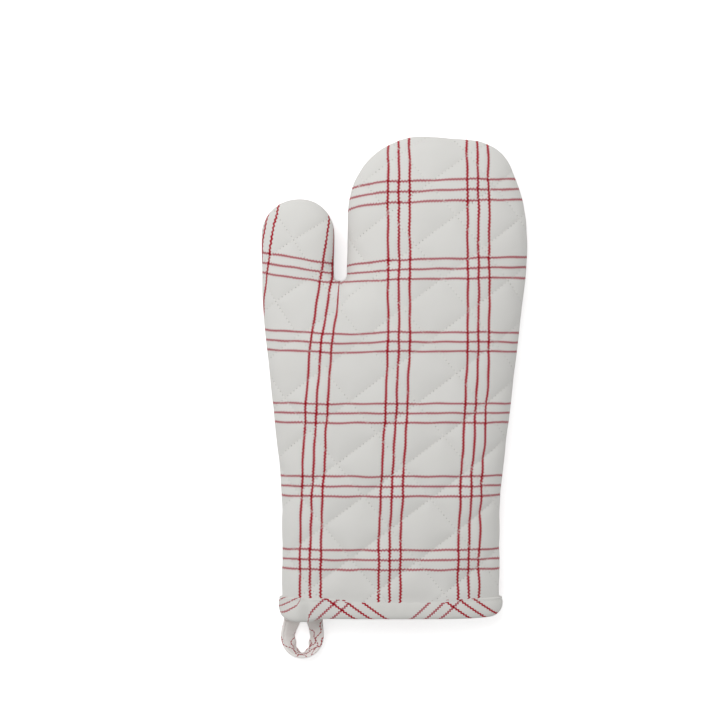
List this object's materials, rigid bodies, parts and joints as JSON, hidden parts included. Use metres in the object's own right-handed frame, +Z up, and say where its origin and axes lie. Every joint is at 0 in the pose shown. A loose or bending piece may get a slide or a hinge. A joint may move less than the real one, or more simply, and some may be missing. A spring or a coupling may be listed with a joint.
{
  "type": "oven mitt",
  "caption": "Quilted cotton oven mitt with a separate thumb, padded and lined hand space, bias-bound cuff and a swinging strap loop for hanging.",
  "frame": {"origin": "centre of the plan outline, on the surface that the mitt lies on", "axes": "+Y from the cuff to the fingertips, +X across the hand away from the thumb, +Z up through the thickness from the back to the front face"},
  "size_m": [0.1772, 0.3463, 0.038],
  "materials": {
    "checked_cotton": "plain-woven cotton, off-white with red check lines",
    "bias_binding": "the same checked cotton cut on the bias",
    "lining_cotton": "plain unbleached cotton",
    "wadding": "needled cotton wadding",
    "thread": "white spun sewing thread"
  },
  "bodies": {
    "mitt": {"front_outer_panel": "checked_cotton", "back_outer_panel": "checked_cotton", "front_wadding": "wadding", "back_wadding": "wadding", "front_lining": "lining_cotton", "back_lining": "lining_cotton", "seam_overlock": "thread", "front_quilting_thread": "thread", "back_quilting_thread": "thread", "cuff_binding": "bias_binding", "binding_stitch": "thread", "loop_bartack": "thread"},
    "loop": {"hanging_loop": "bias_binding", "loop_edge_stitch": "thread"}
  },
  "joints": [
    {"name": "loop_swing", "type": "hinge", "parent": "mitt", "child": "loop", "pos_m": [-0.0613, -0.1505, 0.0016], "axis": [-1, 0, 0], "range_deg": [0, 65]}
  ]
}
